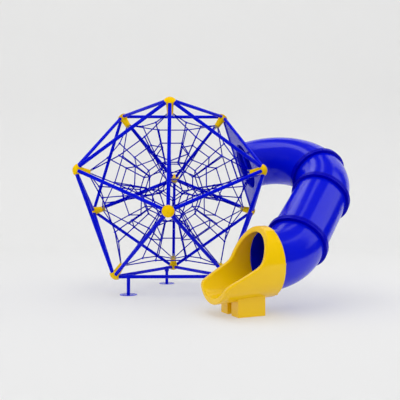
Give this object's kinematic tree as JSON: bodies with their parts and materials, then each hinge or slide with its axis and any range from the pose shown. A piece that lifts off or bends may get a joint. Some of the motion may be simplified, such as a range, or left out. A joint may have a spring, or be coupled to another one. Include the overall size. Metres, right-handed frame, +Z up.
{
  "type": "dome climber",
  "caption": "Icosahedral tube-frame dome climber on short legs, with a rope net inside and an enclosed curved tube slide leaving through a side panel.",
  "frame": {"origin": "on the ground, under the middle of the whole object's box", "axes": "+Z up; -Y towards the side where the slide's exit stands; +X towards the side where the slide leaves the dome"},
  "size_m": [4.1868, 4.2991, 2.9725],
  "materials": {
    "blue_paint": "powder coated, gloss",
    "yellow_hub": "powder coated casting",
    "yellow_cap": "moulded, satin",
    "rope": "stranded rope",
    "clamp": "moulded",
    "steel": "zinc plated",
    "panel": "sheet, fine grained",
    "blue_plastic": "rotationally moulded, gloss",
    "yellow_plastic": "rotationally moulded, satin"
  },
  "bodies": {
    "root": {"entry_panel": "panel", "exit_feet": "yellow_plastic", "grab_handles": "blue_paint", "hub_base_back": "yellow_hub", "hub_base_left": "yellow_hub", "hub_base_right": "yellow_hub", "hub_bolts": "steel", "hub_caps": "yellow_cap", "hub_high_back": "yellow_hub", "hub_high_left": "yellow_hub", "hub_high_right": "yellow_hub", "hub_low_front": "yellow_hub", "hub_low_left": "yellow_hub", "hub_low_right": "yellow_hub", "hub_top_front": "yellow_hub", "hub_top_left": "yellow_hub", "hub_top_right": "yellow_hub", "leg_straps": "blue_paint", "legs": "blue_paint", "m12_bolts": "steel", "net_clamps": "clamp", "net_inner_ropes": "rope", "net_outer_ropes": "rope", "panel_lugs": "blue_paint", "rope_end_fittings": "steel", "slide_entry_bend": "blue_plastic", "slide_exit": "yellow_plastic", "slide_lower_bend": "blue_plastic", "slide_straight": "blue_plastic", "slide_upper_bend": "blue_plastic", "tube_base_back_to_high_back": "blue_paint", "tube_base_back_to_low_left": "blue_paint", "tube_base_back_to_low_right": "blue_paint", "tube_base_left_to_base_back": "blue_paint", "tube_base_left_to_base_right": "blue_paint", "tube_base_left_to_high_left": "blue_paint", "tube_base_left_to_low_front": "blue_paint", "tube_base_left_to_low_left": "blue_paint", "tube_base_right_to_base_back": "blue_paint", "tube_base_right_to_high_right": "blue_paint", "tube_base_right_to_low_front": "blue_paint", "tube_base_right_to_low_right": "blue_paint", "tube_high_back_to_top_left": "blue_paint", "tube_high_back_to_top_right": "blue_paint", "tube_high_left_to_top_front": "blue_paint", "tube_high_left_to_top_left": "blue_paint", "tube_high_right_to_top_front": "blue_paint", "tube_high_right_to_top_right": "blue_paint", "tube_low_front_to_high_left": "blue_paint", "tube_low_front_to_high_right": "blue_paint", "tube_low_front_to_top_front": "blue_paint", "tube_low_left_to_high_back": "blue_paint", "tube_low_left_to_high_left": "blue_paint", "tube_low_left_to_top_left": "blue_paint", "tube_low_right_to_high_back": "blue_paint", "tube_low_right_to_high_right": "blue_paint", "tube_low_right_to_top_right": "blue_paint", "tube_top_front_to_top_left": "blue_paint", "tube_top_front_to_top_right": "blue_paint", "tube_top_left_to_top_right": "blue_paint"}
  },
  "joints": []
}
